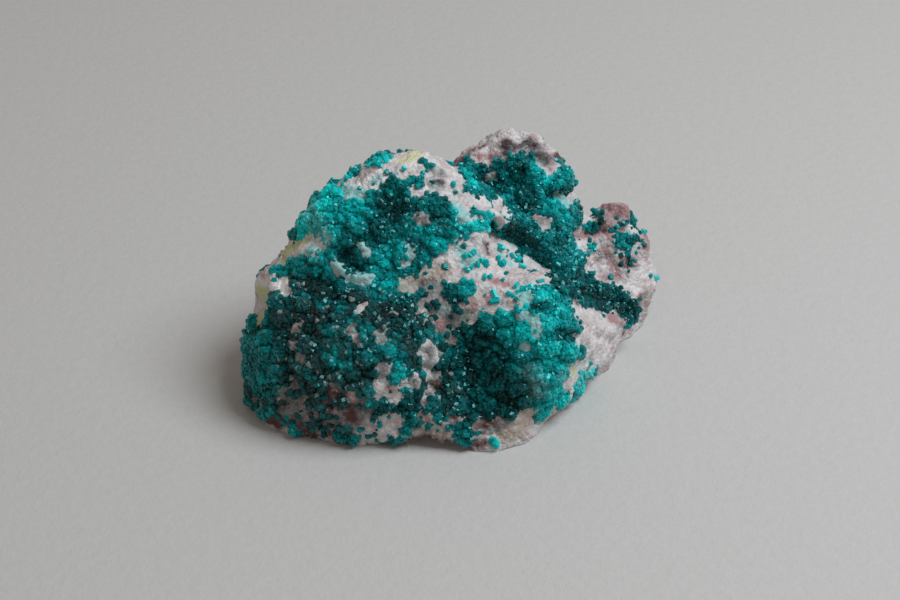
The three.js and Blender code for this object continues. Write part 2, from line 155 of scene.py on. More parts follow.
BARE_GROUND = {
    "crown and shoulder": (
        (330, 170), (345, 150), (394, 138), (427, 140), (443, 158), (451, 160), (459, 165), (463, 171),
        (468, 178), (472, 188), (480, 195), (492, 198), (502, 194), (506, 203), (513, 208), (513, 217),
        (504, 223), (497, 216), (490, 222), (484, 222), (478, 217), (470, 219), (462, 217), (461, 212),
        (459, 205), (453, 199), (450, 193), (441, 194), (439, 188), (433, 188), (429, 193), (422, 193),
        (418, 196), (414, 197), (412, 194), (412, 190), (414, 187), (421, 188), (427, 186), (429, 179),
        (426, 174), (417, 172), (406, 177), (398, 175), (393, 169), (388, 168), (386, 172), (392, 175),
        (388, 179), (381, 180), (376, 183), (377, 188), (370, 186), (363, 190), (365, 196), (361, 199),
        (355, 197), (349, 196), (343, 199), (343, 191), (338, 184),
    ),
    "left edge": (
        (276, 240), (286, 241), (295, 236), (303, 232), (311, 236), (319, 241), (323, 247), (316, 249),
        (307, 252), (304, 257), (297, 256), (290, 257), (284, 262), (276, 265), (266, 258),
    ),
    "left lump": (
        (238, 262), (262, 266), (266, 274), (274, 273), (280, 278), (286, 279), (290, 284), (288, 293),
        (281, 294), (276, 290), (268, 292), (264, 298), (264, 314), (258, 324), (238, 324), (234, 290),
    ),
    "shelf": (
        (400, 286), (406, 280), (413, 276), (422, 273), (427, 264), (431, 259), (439, 256), (447, 254),
        (452, 249), (450, 244), (456, 238), (466, 238), (476, 238), (483, 234), (495, 232), (502, 233),
        (508, 239), (515, 244), (518, 248), (519, 256), (529, 257), (535, 260), (541, 268), (549, 274),
        (554, 281), (548, 284), (541, 282), (535, 284), (528, 281), (520, 284), (516, 290), (524, 291),
        (521, 300), (512, 304), (503, 308), (497, 304), (494, 312), (486, 311), (478, 313), (476, 303),
        (479, 292), (481, 283), (478, 277), (470, 277), (460, 280), (450, 279), (443, 284), (436, 288),
        (428, 289), (423, 283), (414, 288), (404, 289),
    ),
    "middle": (
        (428, 288), (441, 291), (448, 299), (458, 302), (467, 301), (476, 298), (478, 313), (472, 322),
        (462, 325), (452, 330), (441, 331), (431, 326), (426, 310),
    ),
    "ridge top": (
        (444, 158), (450, 130), (500, 110), (600, 120), (590, 180), (575, 176), (571, 171), (566, 166),
        (561, 163), (557, 166), (558, 171), (552, 172), (546, 170), (541, 164), (537, 158), (530, 154),
        (521, 151), (513, 151), (508, 156), (497, 160), (487, 164), (478, 162), (470, 165), (461, 164),
        (452, 164),
    ),
    "knob and block": (
        (575, 186), (650, 190), (670, 230), (665, 300), (652, 330), (644, 319), (643, 310), (642, 300),
        (634, 293), (623, 286), (612, 280), (600, 276), (590, 270), (580, 270), (583, 266), (588, 260),
        (592, 254), (588, 250), (579, 246), (575, 238), (570, 231), (577, 229), (581, 222), (583, 212),
        (579, 203), (572, 207), (562, 200), (556, 194), (564, 195), (570, 192),
    ),
    "calcite": (
        (571, 289), (575, 296), (583, 302), (591, 306), (602, 307), (612, 311), (622, 314), (630, 322),
        (634, 330), (644, 330), (630, 345), (610, 372), (590, 402), (570, 412), (540, 440), (524, 470),
        (460, 470), (460, 448), (474, 436), (476, 424), (484, 417), (499, 421), (512, 418), (520, 413),
        (533, 411), (548, 406), (562, 400), (568, 395), (566, 388), (570, 380), (571, 366), (576, 362),
        (586, 358), (587, 354), (580, 346), (579, 340), (583, 334), (582, 326), (579, 318), (574, 300),
    ),
    "foot of the block": (
        (646, 314), (670, 300), (670, 370), (600, 400), (610, 372), (630, 345), (640, 328),
    ),
    "foot of the middle": (
        (404, 440), (410, 433), (418, 429), (440, 428), (450, 430), (460, 437), (462, 452), (400, 452),
    ),
}

GREEN_PATCHES = {
    "crown": (
        (363, 158), (372, 151), (381, 146), (393, 140), (394, 148), (388, 157), (383, 163), (374, 165),
        (366, 164),
    ),
    "left of the crown": ((348, 167), (354, 160), (359, 162), (357, 169), (352, 176)),
    "glinting": ((340, 174), (348, 176), (348, 182), (342, 184)),
    "right of the crown": ((419, 157), (424, 155), (430, 159), (436, 165), (430, 168), (424, 166)),
    "shoulder dot": ((453, 181), (458, 182), (457, 187), (452, 186)),
    "shoulder strip": ((455, 189), (465, 182), (474, 186), (464, 195)),
    "shoulder blob": ((467, 203), (477, 203), (482, 212), (474, 218)),
    "ridge left": ((461, 164), (463, 155), (470, 153), (477, 157), (478, 164), (470, 168)),
    "knob left": ((593, 210), (600, 206), (604, 211), (606, 222), (601, 226), (595, 220)),
    "below the knob": ((586, 222), (593, 221), (596, 227), (590, 229)),
    "knob right": ((619, 221), (628, 217), (640, 212), (640, 221), (633, 225), (622, 226)),
    "under the knob": ((611, 227), (620, 226), (621, 231), (613, 231)),
    "block": (
        (609, 241), (616, 238), (622, 232), (628, 229), (642, 228), (638, 236), (641, 242), (636, 248),
        (633, 253), (626, 252), (619, 250), (617, 245),
    ),
    "under the block": ((623, 254), (628, 257), (627, 265), (622, 265)),
    "block left": ((586, 244), (596, 242), (598, 248), (591, 253)),
    "band end": ((646, 300), (648, 316), (641, 326), (629, 325), (630, 308)),
    "under the calcite": (
        (580, 377), (585, 371), (592, 372), (602, 368), (598, 377), (591, 382), (589, 389), (583, 396),
        (576, 398), (573, 392), (578, 386),
    ),
    "lobe foot": (
        (536, 410), (548, 404), (560, 399), (570, 399), (562, 409), (551, 412), (545, 420), (540, 424),
    ),
    "foot dot": ((523, 431), (528, 431), (528, 435), (523, 435)),
    "low middle": (
        (446, 434), (455, 430), (463, 423), (472, 418), (477, 425), (470, 433), (469, 441), (470, 448),
        (462, 448), (456, 441), (448, 440),
    ),
    "low right": ((487, 431), (495, 431), (500, 438), (499, 448), (490, 446)),
    "middle upper dots": ((431, 298), (442, 299), (440, 308), (430, 308)),
    "middle far dots": ((453, 306), (461, 305), (463, 313), (455, 315)),
    "middle dots": ((443, 300), (451, 305), (447, 314), (440, 308)),
    "middle lower dots": ((431, 313), (442, 312), (442, 322), (431, 323)),
    "below the shoulder": ((488, 215), (496, 215), (502, 222), (498, 232), (486, 232)),
    "shelf right": ((517, 247), (525, 247), (531, 252), (528, 257), (519, 256)),
}

BARE_SPOTS = {
    "dome streak": ((358, 242), (363, 245), (371, 251), (372, 256), (366, 257), (362, 250)),
    "dome lump": ((416, 217), (421, 214), (427, 216), (427, 222), (421, 224), (416, 221)),
    "dome edge": ((404, 262), (407, 254), (411, 248), (417, 247), (415, 254), (408, 264), (402, 270)),
    "left streak": ((322, 231), (328, 233), (335, 237), (332, 240), (325, 236)),
    "blue lump": ((308, 247), (314, 246), (316, 252), (312, 257), (308, 253)),
    "ledge": (
        (332, 264), (338, 261), (343, 266), (347, 273), (355, 276), (366, 273), (375, 276), (370, 281),
        (358, 281), (349, 281), (342, 275), (335, 271),
    ),
    "ridge pink": ((534, 213), (541, 216), (549, 217), (553, 222), (551, 228), (546, 226), (540, 221)),
    "ridge mottled": ((558, 195), (566, 198), (572, 205), (566, 208), (560, 203)),
    "ridge hollow": ((488, 171), (497, 172), (496, 177), (490, 177)),
    "lobe top": ((524, 293), (530, 290), (533, 296), (530, 301), (523, 305), (520, 302)),
    "lobe hook": (
        (515, 320), (520, 313), (527, 312), (533, 316), (538, 321), (541, 329), (539, 337), (531, 339),
        (534, 332), (533, 325), (528, 319), (521, 318),
    ),
    "lobe grain": ((520, 345), (526, 345), (525, 351), (520, 351)),
    "white streak": ((358, 309), (365, 302), (370, 305), (362, 313)),
    "front grain 1": ((347, 324), (353, 325), (354, 331), (348, 330)),
    "front grain 2": ((292, 323), (299, 322), (300, 330), (293, 330)),
    "front grain 3": ((291, 341), (297, 341), (297, 346), (291, 346)),
    "front grain 4": ((296, 353), (302, 356), (301, 362), (296, 359)),
    "front grain 5": ((357, 334), (362, 335), (361, 340), (356, 339)),
    "pale lump 1": ((374, 333), (378, 330), (384, 332), (386, 340), (385, 345), (380, 343)),
    "pale lump 2": (
        (421, 344), (428, 341), (435, 345), (440, 352), (437, 359), (433, 366), (427, 368), (424, 361),
        (421, 352),
    ),
    "pale lump 3": ((404, 381), (408, 376), (414, 374), (420, 378), (422, 386), (416, 389), (410, 386)),
    "pale lump 4": (
        (378, 384), (384, 378), (389, 384), (396, 386), (400, 391), (402, 398), (395, 403), (388, 396),
        (381, 396), (375, 398), (376, 390),
    ),
    "pale lump 5": ((380, 366), (386, 362), (388, 368), (386, 378), (380, 377)),
    "pale lump 6": (
        (375, 425), (383, 418), (390, 415), (399, 414), (402, 422), (400, 430), (395, 438), (388, 437),
        (383, 443), (378, 441), (380, 432),
    ),
    "pale lump 7": ((345, 394), (352, 390), (358, 396), (354, 402), (347, 405)),
    "pale lump 8": ((351, 411), (358, 410), (359, 417), (353, 419)),
    "pale lump 9": ((431, 371), (438, 370), (442, 375), (439, 382), (437, 387), (433, 385)),
    "pale lump 10": ((428, 391), (433, 389), (435, 393), (430, 400), (426, 406), (424, 402)),
    "pale lump 11": ((421, 414), (430, 412), (433, 420), (426, 426), (420, 421)),
    "pale lump 12": ((449, 335), (455, 334), (457, 341), (451, 344)),
    "grey lump": ((421, 300), (428, 300), (429, 309), (423, 310)),
    "iron lump": ((447, 414), (455, 412), (460, 416), (456, 423), (449, 422)),
    "back of the foot": ((262, 420), (275, 419), (286, 426), (282, 431), (268, 429)),
}

# Here crystals and bare rock change places every few millimetres.
SPRINKLED = {
    "low left": (
        (240, 392), (258, 389), (275, 397), (287, 385), (300, 380), (318, 385), (332, 383), (345, 392),
        (360, 402), (372, 405), (377, 418), (375, 452), (300, 448), (240, 430),
    ),
}

# Lone crystals on the bare rock.
LONE = (
    (466, 256), (470, 253), (475, 251), (484, 260), (486, 264), (500, 246), (501, 260), (506, 261),
    (512, 255), (519, 260), (523, 264), (505, 278), (516, 283), (540, 280), (495, 293), (484, 274),
    (490, 275), (473, 266), (479, 264), (466, 268), (454, 183), (650, 231), (651, 276), (655, 278),
    (617, 229), (437, 336), (510, 292), (497, 299), (526, 252), (489, 261), (443, 247), (404, 168),
    (486, 216), (480, 211),
)

# Where the crystals are lighter or darker than elsewhere: how much, the depths inside the lines between
# which it sets in, and lines, each with a radius in millimetres.
# partly the crystals' own colour, partly painted light and shade
TONES_AND_PAINTED_LIGHT = {
    # lighter: partly thin crystals on pale rock, partly painted light
    "bright_and_painted_light": (0.33, (-1.8, 1.2), (
        (((330, 192), (314, 206), (306, 222), (314, 236)), 4.4),
        (((316, 206), (326, 222), (322, 236)), 3.4), (((322, 240), (330, 247)), 1.4),
        (((364, 165), (380, 158)), 1.6), (((352, 200), (362, 206), (362, 220)), 2.2),
        (((545, 372), (566, 374), (584, 384)), 2.2), (((530, 300), (552, 322), (560, 345)), 2.6),
        (((572, 330), (560, 350)), 2.4), (((386, 262), (398, 250)), 0.9),
        (((420, 236), (434, 240), (444, 246)), 1.3), (((456, 218), (470, 226), (490, 228)), 1.6),
        (((470, 238), (476, 234)), 1.0), (((456, 208), (462, 222)), 1.0), (((468, 174), (474, 186)), 1.0),
        (((530, 290), (548, 298), (562, 316)), 2.4),
        (((500, 308), (520, 330), (540, 345), (560, 350), (576, 350)), 2.6),
        (((552, 372), (556, 392), (545, 410)), 2.4), (((535, 320), (538, 332)), 1.2),
        (((548, 298), (552, 300)), 1.2), (((566, 315), (578, 326)), 1.4), (((590, 376), (580, 390)), 2.0),
        (((560, 404), (545, 415)), 2.2), (((592, 248), (592, 248)), 1.2), (((368, 283), (392, 288)), 0.8),
        (((392, 374), (400, 378)), 0.8), (((362, 388), (370, 396)), 1.0), (((489, 217), (498, 221)), 2.0),
        (((456, 200), (462, 210)), 1.0), (((326, 340), (330, 350), (344, 360)), 1.2),
        (((298, 366), (304, 374), (310, 380)), 0.8), (((275, 386), (279, 388)), 0.7),
        (((372, 360), (380, 352)), 0.8), (((392, 345), (402, 350), (396, 362)), 1.1),
        (((345, 350), (352, 340)), 0.7), (((272, 270), (284, 266), (304, 268), (324, 271)), 1.0),
        (((535, 172), (545, 182)), 1.8), (((552, 206), (562, 216)), 1.4), (((560, 176), (566, 172)), 1.2),
        (((474, 282), (470, 286)), 1.0), (((437, 336), (437, 336)), 1.0), (((490, 440), (496, 442)), 1.2),
    )),
    # painted light, above all on the dome's left side, which faces away from the lamp, and a painted glint
    "brightest_and_painted_light": (0.16, (-1.0, 1.5), (
        (((318, 202), (306, 220), (304, 236)), 3.4), (((312, 224), (322, 238), (330, 246)), 2.2),
        (((380, 146), (366, 160)), 1.4), (((590, 376), (580, 392)), 1.4), (((552, 404), (564, 408)), 1.3),
        (((490, 219), (498, 222)), 1.3), (((361, 197), (366, 206)), 0.9),
        (((458, 214), (472, 224), (492, 228)), 1.6),
    )),
    # mostly painted shade: the hollow, the crevice, the band under the block, the front turned from the lamp
    "dark_and_painted_shade": (-0.3, (-1.8, 1.2), (
        (((384, 204), (394, 212), (402, 206)), 1.8),
        (((372, 226), (350, 234), (344, 246), (354, 264)), 2.0), (((414, 246), (418, 244)), 0.8),
        (((444, 200), (450, 214), (448, 226)), 1.0),
        (((452, 330), (466, 350), (460, 380), (470, 410)), 2.2), (((402, 330), (412, 360)), 1.6),
        (((304, 283), (320, 288), (336, 296)), 2.1),
        (((290, 320), (310, 330), (292, 350), (310, 372), (290, 390)), 3.4),
        (((380, 350), (372, 372), (400, 410), (420, 396)), 1.8),
        (((440, 350), (446, 376), (440, 400)), 1.6), (((350, 298), (380, 318), (410, 318)), 1.6),
        (((322, 375), (326, 400), (320, 420)), 2.4), (((350, 345), (362, 372), (350, 385)), 2.0),
        (((400, 302), (412, 312)), 1.8), (((396, 320), (398, 328)), 1.2),
        (((480, 338), (470, 350), (468, 380), (476, 400)), 2.4),
        (((494, 360), (500, 380), (512, 400), (520, 408)), 2.2), (((490, 412), (500, 400)), 2.2),
        (((482, 180), (500, 184), (512, 182)), 1.4), (((520, 192), (530, 204)), 1.4),
        (((514, 235), (518, 239), (532, 250), (550, 268), (562, 282)), 2.0),
        (((513, 232), (524, 240), (546, 260)), 1.4), (((404, 312), (414, 326)), 1.6),
        (((434, 302), (458, 310), (438, 320)), 1.6), (((440, 356), (448, 372), (446, 392)), 1.6),
        (((514, 226), (530, 238), (550, 256)), 0.8), (((522, 166), (524, 170)), 0.8),
        (((556, 192), (560, 194)), 0.8), (((580, 282), (600, 292), (618, 300), (636, 308)), 2.0),
        (((604, 304), (622, 313), (634, 318)), 1.2), (((576, 292), (590, 300), (606, 308)), 1.8),
        (((600, 214), (603, 220)), 1.2), (((566, 335), (580, 337)), 0.9), (((628, 222), (630, 222)), 1.0),
        (((625, 260), (625, 260)), 0.8),
    )),
    # painted shade in the crevice and the clefts
    "clefts": (-0.5, (-0.5, 0.3), (
        (((508, 232), (516, 236), (528, 245)), 1.5),
        (((522, 243), (538, 254), (552, 266), (562, 278)), 0.8), (((562, 334), (580, 337)), 1.1),
        (((532, 308), (546, 304)), 0.7), (((486, 179), (506, 182)), 0.9), (((522, 167), (526, 172)), 0.5),
        (((384, 306), (398, 310)), 0.9), (((576, 286), (600, 298)), 0.5), (((592, 216), (598, 222)), 0.6),
        (((470, 356), (474, 384)), 1.0), (((500, 396), (512, 404)), 0.9),
    )),
}

# Where the rock stands out, or falls back: lines, each with a radius and a height in millimetres.
RELIEF = (
    (((498, 233), (510, 238), (524, 246), (540, 258), (558, 276)), 1.6, -3.9),
    (((502, 246), (516, 254), (532, 262), (548, 277)), 1.2, 0.6),
    (((486, 178), (500, 183), (516, 180)), 1.5, -1.6), (((548, 192), (560, 195)), 0.9, -1.2),
    (((563, 336), (582, 337)), 0.7, -1.4), (((336, 266), (345, 272), (358, 277), (372, 277)), 0.7, 0.9),
    (((344, 252), (352, 262), (356, 268)), 1.2, -1.0), (((402, 305), (412, 312)), 1.4, -1.0),
    (((575, 288), (596, 300), (620, 308), (636, 314)), 1.2, -0.9), (((506, 160), (520, 158)), 1.6, 0.8),
    (((534, 174), (540, 184)), 1.6, 0.9), (((560, 174), (566, 184)), 1.6, 1.0),
    (((556, 212), (572, 220)), 1.6, 0.8), (((588, 230), (604, 232), (622, 232)), 0.9, -0.9),
    (((470, 345), (470, 380), (484, 400)), 2.0, -0.8), (((428, 346), (434, 360)), 0.9, 0.6),
    (((394, 270), (404, 280), (424, 276)), 0.8, 0.4), (((594, 316), (604, 326), (614, 334)), 1.0, 0.7),
    (((580, 324), (592, 327), (602, 336), (614, 342)), 0.7, -0.7),
    (((591, 338), (594, 352), (597, 366)), 0.5, 0.6), (((608, 360), (606, 370)), 0.5, 0.5),
    (((252, 296), (252, 306), (252, 318)), 2.6, -0.8), (((300, 206), (308, 196)), 1.6, -0.8),
    (((288, 239), (292, 231)), 1.2, 0.7), (((268, 256), (260, 264)), 1.6, -0.9),
    (((284, 255), (300, 253), (312, 253)), 1.3, 0.9), (((296, 237), (312, 233)), 1.3, -0.8),
    (((250, 274), (254, 284)), 1.6, 0.3), (((626, 208), (632, 213)), 1.2, 0.9),
    (((645, 230), (651, 240)), 1.6, 1.0), (((402, 438), (424, 434), (444, 440)), 0.9, 0.5),
    (((254, 276), (268, 281), (284, 287)), 1.6, 0.9), (((494, 132), (502, 132)), 1.3, 0.3),
    (((524, 139), (528, 143)), 1.1, -0.8), (((539, 136), (543, 140)), 1.0, 0.6),
    (((482, 140), (486, 145)), 1.0, -0.5), (((555, 150), (560, 155)), 0.9, -0.5),
    (((652, 246), (656, 264), (654, 286)), 2.0, 0.8), (((575, 186), (578, 192)), 1.2, -0.8),
)

# Where the rock is drawn in as a whole, with its foot: lines, each with a radius and a shift in millimetres.
DRAWN_IN = (
    (((656, 318), (648, 330), (636, 342)), 2.8, (-1.9, 2.4, 0)),
    (((604, 378), (598, 390)), 2.0, (-0.9, 0.9, 0)),
    (((252, 290), (250, 302), (251, 312)), 3.4, (2.3, 0.6, 0)),
)

# Smooth calcite: lines, each with a radius in millimetres.
CALCITE = (
    (((586, 312), (600, 320), (616, 332)), 2.0), (((588, 334), (598, 350), (606, 362)), 2.0),
)

# Where the crystals are finer than elsewhere.
FINE = (
    (((510, 300), (540, 300), (560, 330), (555, 380), (545, 400)), 5.0),
    (((520, 225), (545, 245), (565, 265)), 4.0), (((590, 285), (630, 305)), 3.0),
    (((456, 212), (500, 228)), 3.0), (((310, 215), (325, 240)), 3.0), (((500, 160), (560, 180)), 3.0),
)

# Where small pale crystals stand among the dark ones, partly as painted glints.
SPECKLED_AND_GLINTING = (
    (((300, 290), (320, 340), (290, 370), (330, 390)), 5.0), (((360, 300), (370, 340), (350, 380)), 5.0),
    (((420, 300), (445, 380)), 3.0),
)

# Where dust and iron dull the crystals, and where shade is painted on them:
# in the crevice, the ridge's hollow and under the block.
DUSTY_AND_SHADED = (
    (((290, 300), (320, 320), (296, 350), (320, 380), (300, 400)), 4.4),
    (((350, 300), (380, 312), (416, 312)), 2.2), (((250, 396), (290, 404), (330, 400), (360, 410)), 2.6),
    (((402, 330), (412, 356)), 1.6), (((340, 350), (356, 380), (340, 420)), 3.0),
    (((512, 237), (532, 252), (552, 272)), 1.5), (((604, 300), (620, 306)), 0.9),
    (((484, 180), (500, 184)), 0.9), (((424, 320), (430, 340), (426, 376), (446, 400)), 1.6),
)

# Where the crystals are frosty, partly as painted glints.
FROSTED_AND_GLINTING = (
    (((531, 374), (540, 392)), 1.8), (((308, 208), (314, 222), (322, 238)), 1.8),
    (((580, 382), (592, 374)), 1.2), (((562, 374), (572, 384)), 1.0), (((310, 246), (314, 254)), 1.0),
    (((455, 390), (461, 396)), 0.8), (((362, 306), (370, 300)), 0.8),
)

# Stains on the rock: lines, each with a radius in millimetres.
# Some lines paint light or shade: white ones light faces in shade, soil and iron ones paint shade.
STAINS = {
    "iron": (
        (((264, 416), (276, 424)), 1.4), (((318, 388), (330, 400)), 1.8), (((338, 396), (350, 418)), 1.2),
        (((300, 430), (312, 438)), 1.2), (((330, 436), (352, 441)), 1.3), (((452, 417), (456, 416)), 0.9),
        (((436, 383), (438, 386)), 0.7), (((626, 262), (633, 262)), 1.1), (((252, 311), (255, 314)), 0.8),
        (((250, 386), (252, 390)), 0.8), (((394, 255), (394, 257)), 0.6),
        # painted shade: the first line here, along the lip of the front arch
        (((484, 444), (470, 448), (440, 443), (412, 440)), 0.9), (((492, 423), (480, 426)), 0.8),
        (((454, 160), (462, 162)), 0.8), (((574, 294), (580, 301)), 0.5), (((604, 220), (604, 228)), 1.0),
    ),
    "white": (
        # painted light on the left lump, its wall and the left edge, which face away from the lamp
        (((256, 276), (270, 282), (286, 288)), 1.6), (((242, 278), (250, 277), (260, 282)), 2.2),
        (((350, 190), (366, 184), (382, 174)), 1.3), (((352, 398), (354, 414)), 1.0),
        (((380, 390), (396, 398)), 0.9), (((286, 252), (296, 243), (306, 238), (316, 243)), 2.2),
    ),
    "soil": (
        (((608, 210), (616, 216), (622, 212)), 1.2),
        (((256, 396), (270, 402), (290, 392), (310, 396)), 3.0),
        (((256, 408), (280, 412), (310, 422), (336, 424)), 2.6), (((362, 404), (372, 412)), 1.4),
        (((318, 386), (336, 400), (350, 420)), 2.4),
        (((430, 292), (440, 300), (456, 312), (440, 322)), 2.6),
        (((446, 322), (456, 336), (450, 346)), 1.6), (((438, 380), (440, 388)), 0.9),
        # painted shadow: the middle line here, in the ridge's hollow
        (((538, 156), (552, 162)), 1.0), (((487, 173), (496, 175)), 1.0), (((480, 426), (500, 424)), 1.4),
    ),
    "rose": (
        (((606, 250), (612, 262), (618, 276), (604, 276)), 0.7),
        (((572, 294), (584, 301), (600, 306)), 0.8), (((646, 298), (650, 308)), 1.0),
        (((574, 230), (584, 232), (600, 230), (612, 236)), 1.0), (((536, 216), (546, 220)), 1.0),
        (((614, 316), (630, 320)), 1.2), (((458, 158), (470, 150), (480, 142)), 0.7),
        (((478, 156), (494, 156)), 0.6), (((556, 158), (566, 158), (573, 170)), 1.0),
        (((486, 298), (486, 306)), 0.8), (((540, 266), (546, 274)), 0.6), (((504, 280), (496, 278)), 0.8),
        (((296, 326), (296, 326)), 0.8), (((352, 397), (352, 400)), 0.8), (((392, 392), (388, 389)), 0.6),
        (((252, 271), (255, 275)), 0.7), (((645, 238), (643, 246)), 1.0), (((424, 416), (428, 420)), 0.8),
        (((604, 204), (614, 212), (620, 220), (628, 208)), 1.3),
        (((446, 300), (456, 312), (438, 322)), 0.9), (((468, 306), (474, 306)), 0.8),
    ),
    "purple": (
        (((505, 143), (512, 147), (520, 148)), 1.0), (((528, 143), (532, 147)), 1.0),
        (((538, 154), (548, 157)), 1.0), (((512, 150), (500, 156)), 0.7), (((470, 146), (478, 142)), 0.8),
        (((562, 156), (568, 162)), 0.8), (((600, 226), (596, 228)), 0.8), (((435, 182), (441, 182)), 0.8),
        (((488, 244), (490, 250)), 0.7), (((454, 162), (460, 158)), 1.0),
    ),
    "yellow": (
        (((403, 157), (411, 155), (417, 151)), 0.9), (((289, 248), (296, 247), (302, 240)), 0.6),
        (((244, 294), (243, 303)), 1.4), (((243, 312), (246, 320)), 1.2), (((286, 250), (294, 246)), 1.1),
        (((578, 371), (578, 374)), 0.8), (((283, 254), (284, 258)), 0.7),
    ),
    "grey": (
        (((421, 219), (423, 220)), 1.2), (((432, 168), (446, 172)), 0.6), (((408, 258), (415, 250)), 0.8),
        (((544, 219), (549, 222)), 0.9), (((350, 328), (350, 328)), 1.0),
        (((296, 327), (294, 344), (299, 358)), 0.8), (((360, 337), (360, 337)), 0.8),
        (((380, 335), (383, 342)), 1.0), (((430, 350), (430, 364)), 0.9), (((412, 381), (416, 384)), 1.0),
        (((383, 367), (383, 374)), 1.1), (((432, 392), (428, 404)), 0.8), (((440, 372), (437, 384)), 1.2),
        (((428, 290), (440, 306), (460, 318)), 1.6),
    ),
    "teal": (
        (((360, 244), (368, 253)), 1.0), (((408, 260), (410, 252)), 0.8), (((325, 235), (333, 238)), 0.8),
        (((311, 250), (311, 250)), 0.9), (((338, 266), (350, 276), (372, 277)), 1.0),
        (((562, 198), (568, 205)), 1.2), (((526, 295), (528, 299)), 1.2),
        (((520, 316), (532, 318), (537, 330)), 1.4), (((523, 348), (523, 348)), 0.9),
        (((458, 206), (466, 216)), 1.0), (((345, 190), (358, 194)), 1.3), (((372, 180), (378, 176)), 0.6),
        (((467, 262), (480, 261)), 0.8), (((462, 250), (476, 254)), 0.7), (((500, 252), (512, 262)), 0.6),
        (((519, 289), (528, 286)), 0.8),
    ),
    "tan": (
        (((403, 287), (430, 275), (444, 270)), 1.1), (((508, 432), (525, 420), (534, 416)), 2.0),
        (((430, 296), (436, 312), (460, 306), (466, 300)), 1.6), (((412, 434), (440, 434)), 1.2),
        (((356, 179), (355, 183)), 0.4),
    ),
}

# The same stains on the sides that the camera doesn't see: the size of their blots, and how few they are.
SPREAD = {
    "iron": (7, 0.42),
    "white": (6, 0.3),
    "soil": (9, 0.35),
    "rose": (6, 0.3),
    "purple": (5, 0.45),
    "yellow": (6, 0.55),
    "tan": (9, 0.2),
    "grey": (6, 0.5),
    "teal": (5, 0.5),
}

# ---- The camera, and places seen through it ----


def make_camera():
    data = bpy.data.cameras.new("camera")
    data.lens = VIEW["lens"]
    data.sensor_width = VIEW["sensor"]
    camera = bpy.data.objects.new("camera", data)
    bpy.context.scene.collection.objects.link(camera)
    bpy.context.scene.camera = camera
    down = math.radians(VIEW["down"])
    away = Vector((0, -math.cos(down), math.sin(down)))
    camera.location = (Vector(AIM) + away * VIEW["distance"]) * MM
    camera.rotation_euler = (math.radians(90) - down, 0, 0)
    bpy.context.view_layer.update()
    return camera


class Sight:
    """Turns points of the camera's picture into places on the ground, in millimetres."""

    def __init__(self, camera, ground):
        self.eye = camera.location / MM
        self.turn = camera.rotation_euler.to_matrix()
        self.ground = ground

    def hit(self, x, y):
        scale = VIEW["sensor"] / VIEW["lens"] / VIEW["wide"]
        ray = Vector(((x - VIEW["wide"] / 2) * scale, (VIEW["high"] / 2 - y) * scale, -1))
        return self.ground.ray_cast(self.eye, (self.turn @ ray).normalized())[0]

    def place(self, x, y):
        """The place at a point, or at the nearest point towards the middle that shows one."""
        for step in range(NEARER["steps"]):
            share = step * NEARER["share"]
            found = self.hit(x + (VIEW["wide"] / 2 - x) * share, y + (VIEW["high"] / 2 - y) * share)
            if found is not None:
                return found
        raise ValueError(f"nothing is seen near {x}, {y}")

    def balls(self, lines):
        """Lines as rows of balls: places, each with the radius of its line."""
        rows = []
        for points, radius in lines:
            for (x0, y0), (x1, y1) in zip(points, points[1:]):
                steps = max(1, round(math.hypot(x1 - x0, y1 - y0) / BALL_GAP))
                shares = [i / steps for i in range(steps + 1)]
                rows += [(self.place(x0 + (x1 - x0) * t, y0 + (y1 - y0) * t), radius) for t in shares]
        return rows

    def along(self, lines, points, low, high):
        """0 to 1, by how deep inside the lines each point lies: 0 up to the depth low, 1 from high on."""
        deepest = np.full(len(points), -np.inf)
        for middle, radius in self.balls(lines):
            deepest = np.maximum(deepest, radius - np.linalg.norm(points - middle, axis=1))
        return smooth_step(low, high, deepest)

    def everything(self):
        """Every few points of the picture that show the ground, and the places they show."""
        points, places = [], []
        for y in range(0, VIEW["high"], COVER["grid"]):
            for x in range(0, VIEW["wide"], COVER["grid"]):
                found = self.hit(x, y)
                if found is not None:
                    points.append((x, y))
                    places.append(found)
        return np.array(points, float), np.array(places)


def within(points, outline):
    """Which points of the picture lie within an outline."""
    x, y = points[:, 0], points[:, 1]
    inside = np.zeros(len(points), bool)
    for (x0, y0), (x1, y1) in zip(outline, outline[1:] + outline[:1]):
        if y0 != y1:
            inside ^= ((y0 > y) != (y1 > y)) & (x < x0 + (y - y0) / (y1 - y0) * (x1 - x0))
    return inside


def distances(points, others):
    """How far each point lies from the nearest of the others."""
    tree = KDTree(len(others))
    for number, place in enumerate(others):
        tree.insert(place, number)
    tree.balance()
    return np.array([tree.find(p)[2] for p in points])


def smooth_step(low, high, x):
    t = np.clip((x - low) / (high - low), 0, 1)
    return t * t * (3 - 2 * t)


def lumpy(points, size, shifts=0):
    """Noise of about -1 to 1 at each point, with lumps of that size."""
    shift = Vector([step * shifts for step in NOISE_STEP])
    return np.array([noise.noise(Vector(p) / size + shift) for p in points])


def grainy(points, size):
    """Angular grains of that size: how far each point stands out, and how light its grain is, both from
    about -0.5 to 0.5."""
    heights, shades = [], []
    for p in points:
        at = Vector(p) / size
        middle = noise.voronoi(at)[1][0]
        own = noise.cell_vector(middle * GRAIN["key"])
        tilt = (at - middle).dot(own - Vector((0.5, 0.5, 0.5))) * GRAIN["tilt"]
        heights.append(tilt - (at - middle).length_squared * GRAIN["round"])
        shades.append(own[0] - 0.5)
    return np.array(heights), np.array(shades)


def clumps_of(points):
    """0 in the clefts between the crystals' clumps, 1 on them."""
    gaps = [noise.voronoi(Vector(p) / CLUMPS["size"])[0] for p in points]
    return smooth_step(0, CLUMPS["cleft"], np.array([second - first for first, second, _, _ in gaps]))


